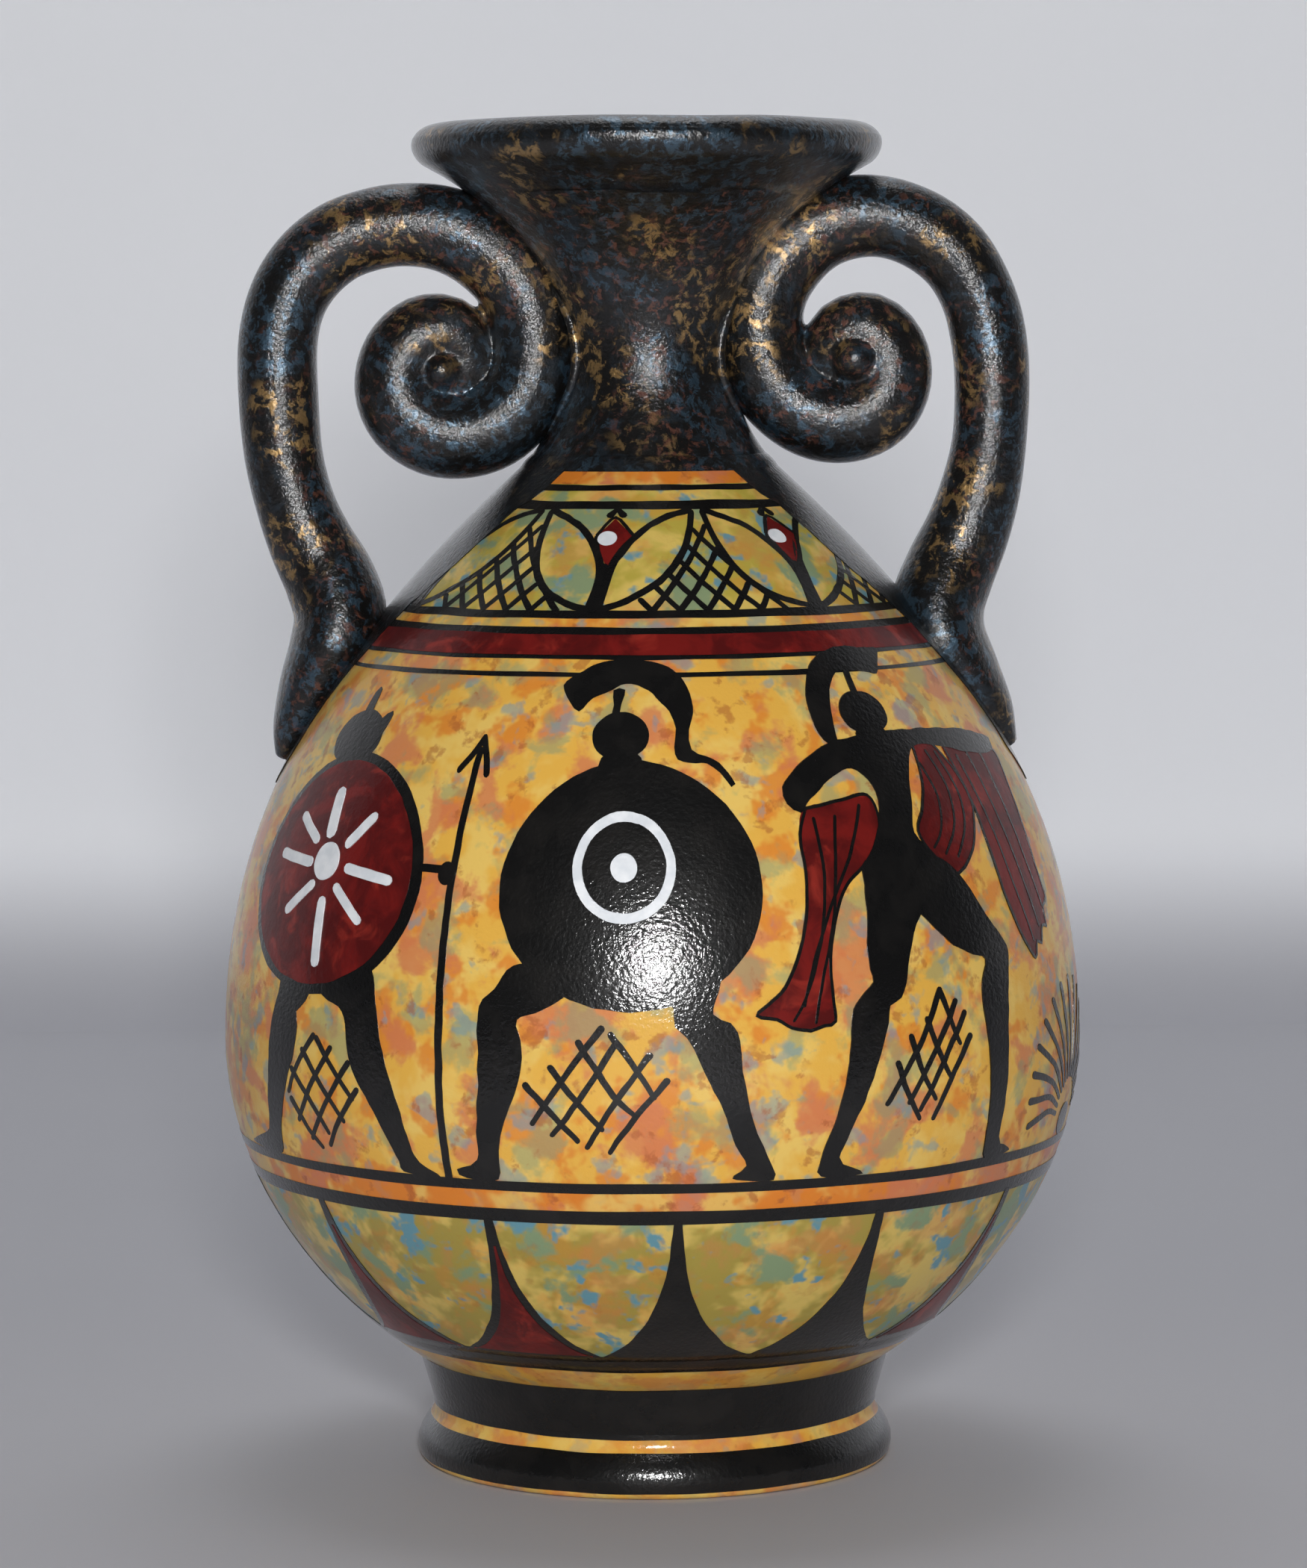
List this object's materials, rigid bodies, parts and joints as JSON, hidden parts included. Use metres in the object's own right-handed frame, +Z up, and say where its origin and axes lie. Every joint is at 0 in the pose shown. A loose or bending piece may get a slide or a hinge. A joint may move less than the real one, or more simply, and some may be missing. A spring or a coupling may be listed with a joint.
{
  "type": "amphora",
  "caption": "Small footed amphora with a swelling body, narrow flared neck, round lip and scroll handles at the neck.",
  "frame": {"origin": "middle of the foot ring's flat underside", "axes": "+Z up along the axis of the pot, X through both handles, -Y towards the painted front"},
  "size_m": [0.096, 0.096, 0.15],
  "materials": {
    "ochre_glaze": "Earthenware with a watery mottled ochre, orange and teal ground coat under semi-gloss varnish, painted with black, maroon and white figures and bands",
    "black_lacquer": "Earthenware under glossy black lacquer with sponged metallic flecks of gold, copper, teal, blue-grey and violet",
    "maroon_paint": "Dark red brush paint under semi-gloss varnish",
    "black_paint": "Black brush paint under semi-gloss varnish",
    "white_paint": "Raised white dots and strokes of thick paint",
    "bare_clay": "Unglazed fired earthenware, matt and finely gritty"
  },
  "bodies": {
    "root": {"foot_ring": "black_lacquer", "foot_luting_coil": "bare_clay", "bowl": "ochre_glaze", "shoulder": "ochre_glaze", "neck": "black_lacquer", "neck_luting_coil": "black_lacquer", "lip": "black_lacquer", "right_handle": "black_lacquer", "right_root_pad": "black_lacquer", "right_scroll_bead_a": "black_lacquer", "right_scroll_bead_b": "black_lacquer", "left_handle": "black_lacquer", "left_root_pad": "black_lacquer", "left_scroll_bead_a": "black_lacquer", "left_scroll_bead_b": "black_lacquer"}
  },
  "joints": []
}
